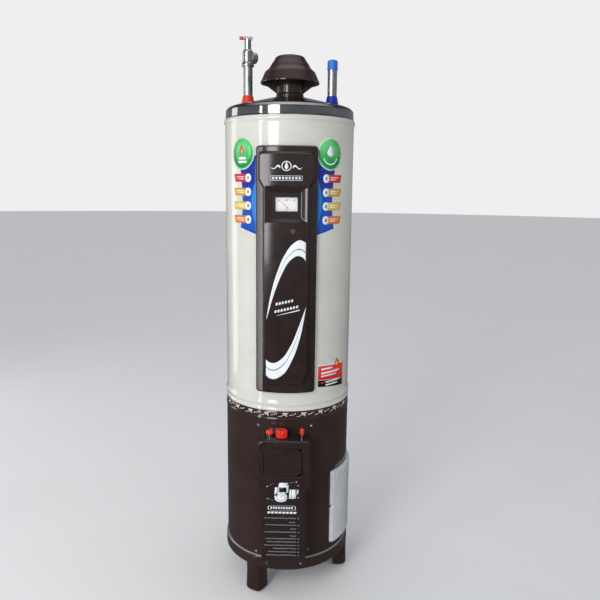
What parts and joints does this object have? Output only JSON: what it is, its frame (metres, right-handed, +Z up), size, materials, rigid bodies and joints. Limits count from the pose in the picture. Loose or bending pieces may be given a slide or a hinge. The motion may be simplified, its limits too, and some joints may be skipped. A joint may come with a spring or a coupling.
{
  "type": "gas storage water heater",
  "caption": "Tall round gas storage water heater on short legs, with a domed lid, capped flue, side pipes, relief valve, gauge panel, gas control cover and access door.",
  "frame": {"origin": "on the tank's axis at floor level, under the soles of the legs", "axes": "+Z up the tank's axis; the control side faces -Y; +X is the cold side"},
  "size_m": [0.3935, 0.476, 1.6389],
  "materials": {
    "brown_enamel": "gloss",
    "cream_enamel": "gloss",
    "brown_plastic": "gloss",
    "chrome_lid": "polished",
    "zinc_steel": "satin",
    "tank_enamel": "satin",
    "glass_wool": "matt",
    "polished_steel": "polished",
    "plated_brass": "satin",
    "red_plastic": "gloss",
    "red_boot": "satin",
    "blue_boot": "satin",
    "blue_cap": "satin",
    "grey_enamel": "satin",
    "dark_plastic": "satin",
    "white_dial": "matt",
    "red_pointer": "matt",
    "clear_lens": "clear",
    "cast_alloy": "cast",
    "magnesium": "cast",
    "cast_iron": "cast"
  },
  "bodies": {
    "heater": {"lower_casing": "brown_enamel", "base_ring": "brown_enamel", "leg_front_left": "brown_enamel", "leg_right": "brown_enamel", "leg_rear_left": "brown_enamel", "flue_pipe": "brown_enamel", "flue_cap": "brown_enamel", "flue_cap_gussets": "brown_enamel", "upper_casing": "cream_enamel", "control_panel": "brown_plastic", "thermostat_cover": "brown_plastic", "panel_plug": "brown_plastic", "top_lid": "chrome_lid", "hot_nipple": "zinc_steel", "cold_nipple": "zinc_steel", "base_pan": "zinc_steel", "drain_nipple": "zinc_steel", "drain_plug": "zinc_steel", "chamber_skirt": "zinc_steel", "door_hinge": "zinc_steel", "flue_tube": "zinc_steel", "flue_baffle": "zinc_steel", "burner_pipe": "zinc_steel", "inner_tank": "tank_enamel", "insulation_jacket": "glass_wool", "casing_screws": "polished_steel", "relief_spring": "polished_steel", "dial_door_pin": "polished_steel", "relief_valve_body": "plated_brass", "relief_bonnet": "plated_brass", "thermostat_shank": "plated_brass", "gauge_bulb": "plated_brass", "pilot_burner": "plated_brass", "thermocouple": "plated_brass", "hot_boot": "red_boot", "cold_boot": "blue_boot", "igniter_body": "dark_plastic", "igniter_lead": "dark_plastic", "gauge_housing": "dark_plastic", "dip_tube": "dark_plastic", "gauge_dial": "white_dial", "gauge_lens": "clear_lens", "thermostat_body": "cast_alloy", "anode_rod": "magnesium", "burner_head": "cast_iron"},
    "relief_lever": {"relief_lever": "polished_steel", "lever_sleeve": "red_plastic", "lever_pin": "polished_steel"},
    "relief_stem": {"relief_stem": "polished_steel"},
    "gas_knob": {"gas_knob": "red_plastic", "gas_spindle": "polished_steel"},
    "pilot_button": {"pilot_button": "red_plastic", "pilot_stem": "polished_steel"},
    "igniter_button": {"igniter_button": "red_plastic", "igniter_stem": "polished_steel"},
    "temperature_dial": {"temperature_dial": "dark_plastic"},
    "gauge_needle": {"gauge_needle": "red_pointer"},
    "dial_door": {"dial_door": "brown_plastic"},
    "access_door": {"access_door": "grey_enamel"},
    "cold_cap": {"cold_cap": "blue_cap"}
  },
  "joints": [
    {"name": "relief_lever_lift", "type": "hinge", "parent": "heater", "child": "relief_lever", "pos_m": [-0.111, 0, 1.6353], "axis": [0, 1, 0], "range_deg": [0, 80], "stiffness_Nm_per_rad": 0.02, "springref_deg": -17.19},
    {"name": "relief_stem_lift", "type": "slide", "parent": "heater", "child": "relief_stem", "axis": [0, 0, 1], "range_m": [0, 0.003], "deforming": ["relief_spring"]},
    {"name": "gas_knob_turn", "type": "hinge", "parent": "heater", "child": "gas_knob", "pos_m": [-0.008, -0.211, 0.52], "axis": [0, 0, 1], "range_deg": [0, 180]},
    {"name": "pilot_button_press", "type": "slide", "parent": "heater", "child": "pilot_button", "axis": [0, 0, -1], "range_m": [0, 0.006], "stiffness_N_per_m": 800, "springref_m": -0.004},
    {"name": "igniter_button_press", "type": "slide", "parent": "heater", "child": "igniter_button", "axis": [0, 0, -1], "range_m": [0, 0.008], "stiffness_N_per_m": 1200, "springref_m": -0.005},
    {"name": "temperature_dial_turn", "type": "hinge", "parent": "heater", "child": "temperature_dial", "pos_m": [-0.003, -0.226, 0.452], "axis": [0, 1, 0], "range_deg": [0, 270]},
    {"name": "gauge_needle_swing", "type": "hinge", "parent": "heater", "child": "gauge_needle", "pos_m": [0.003, -0.191, 1.162], "axis": [0, 1, 0], "range_deg": [0, 90], "stiffness_Nm_per_rad": 0.0002, "springref_deg": -17.19},
    {"name": "dial_door_swing", "type": "hinge", "parent": "heater", "child": "dial_door", "pos_m": [0.0488, -0.2356, 0.452], "axis": [0, 0, 1], "range_deg": [0, 90]},
    {"name": "access_door_swing", "type": "hinge", "parent": "heater", "child": "access_door", "pos_m": [0.17721, 0.0849, 0.28], "axis": [0, 0, 1], "range_deg": [0, 100]},
    {"name": "cold_cap_pull", "type": "slide", "parent": "heater", "child": "cold_cap", "axis": [0, 0, 1], "range_m": [0, 0.05]}
  ],
  "couplings": [
    {"joint": "relief_stem_lift", "follows": "relief_lever_lift", "m_per_rad": 0.00214}
  ]
}
